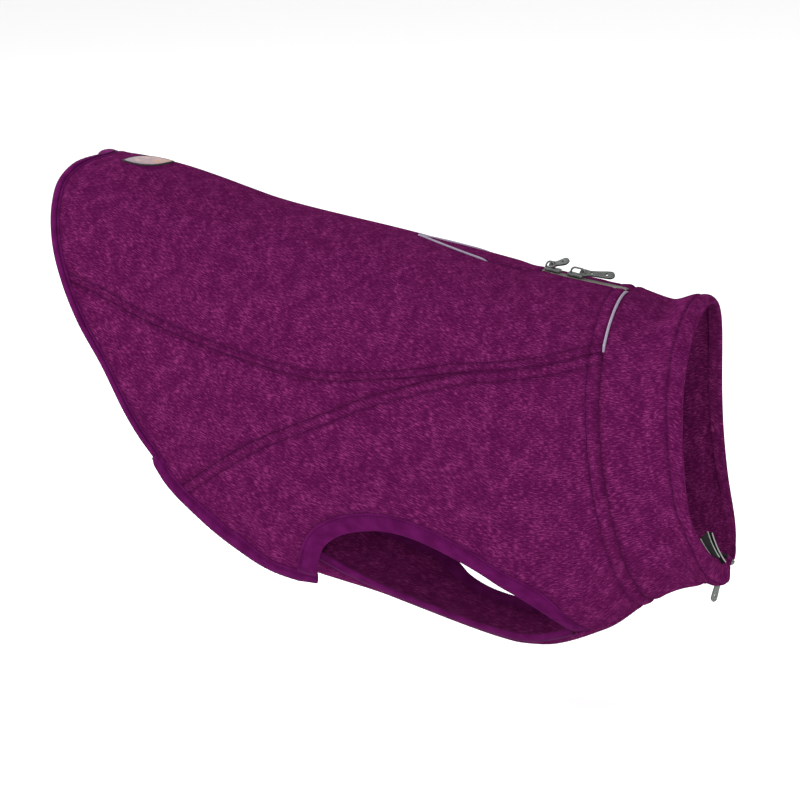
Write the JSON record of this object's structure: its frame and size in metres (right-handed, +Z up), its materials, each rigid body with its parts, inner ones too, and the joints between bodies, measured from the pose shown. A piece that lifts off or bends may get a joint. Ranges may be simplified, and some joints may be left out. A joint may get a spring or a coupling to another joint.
{
  "type": "dog sweater",
  "caption": "Knit-fleece dog sweater filled out with no wearer: tall collar with a chest zip, open armholes, bound hems, curved tail and a leash zip on the back.",
  "frame": {"origin": "inside face of the cloth at the withers, where the centre back meets the collar seam", "axes": "+X towards the dog's head, -Y the dog's right side, +Z up; the back slopes down 11 degrees towards +X"},
  "size_m": [0.5896, 0.145, 0.4006],
  "materials": {
    "fleece": "heathered knit fleece, matt",
    "binding": "smooth stretch binding, matt",
    "reflective_piping": "reflective coated piping, satin",
    "leash_zip_tape": "woven grey zip tape",
    "neck_zip_tape": "woven dark zip tape",
    "gunmetal": "plated gunmetal, worn satin",
    "silver_metal": "plated silver, satin",
    "label_cloth": "bare woven patch"
  },
  "bodies": {
    "garment": {"armhole_binding_left": "binding", "armhole_binding_right": "binding", "back_inset": "fleece", "back_panel": "fleece", "back_piping": "reflective_piping", "belly_hem_binding_left": "binding", "belly_hem_binding_right": "binding", "chest_panel": "fleece", "collar": "fleece", "collar_piping": "reflective_piping", "label_patch": "label_cloth", "leash_slider_front": "gunmetal", "leash_slider_rear": "gunmetal", "leash_zip_coil": "leash_zip_tape", "leash_zip_tape_left": "leash_zip_tape", "leash_zip_tape_right": "leash_zip_tape", "neck_slider": "silver_metal", "neck_zip_coil": "neck_zip_tape", "neck_zip_coil_end_right": "neck_zip_tape", "neck_zip_tape_end_right": "neck_zip_tape", "neck_zip_tape_left": "neck_zip_tape", "neck_zip_tape_right": "neck_zip_tape", "side_front_left": "fleece", "side_front_right": "fleece", "side_gusset_left": "fleece", "side_gusset_right": "fleece", "strap_binding_left": "binding", "strap_binding_right": "binding", "strap_hem_binding": "binding", "tail_hem_binding": "binding"},
    "rear_tab": {"leash_pull_tab_rear": "gunmetal"},
    "front_tab": {"leash_pull_tab_front": "gunmetal"},
    "neck_tab": {"neck_pull_tab": "silver_metal"}
  },
  "joints": [
    {"name": "rear_tab_hinge", "type": "hinge", "parent": "garment", "child": "rear_tab", "pos_m": [-0.06779, 0, 0.01849], "axis": [0, -1, 0], "range_deg": [-24, 150]},
    {"name": "front_tab_hinge", "type": "hinge", "parent": "garment", "child": "front_tab", "pos_m": [-0.04122, 0, 0.01387], "axis": [0, -1, 0], "range_deg": [-9, 100]},
    {"name": "neck_tab_hinge", "type": "hinge", "parent": "garment", "child": "neck_tab", "pos_m": [0.08462, 0, -0.22638], "axis": [0, 1, 0], "range_deg": [-90, 36]}
  ]
}
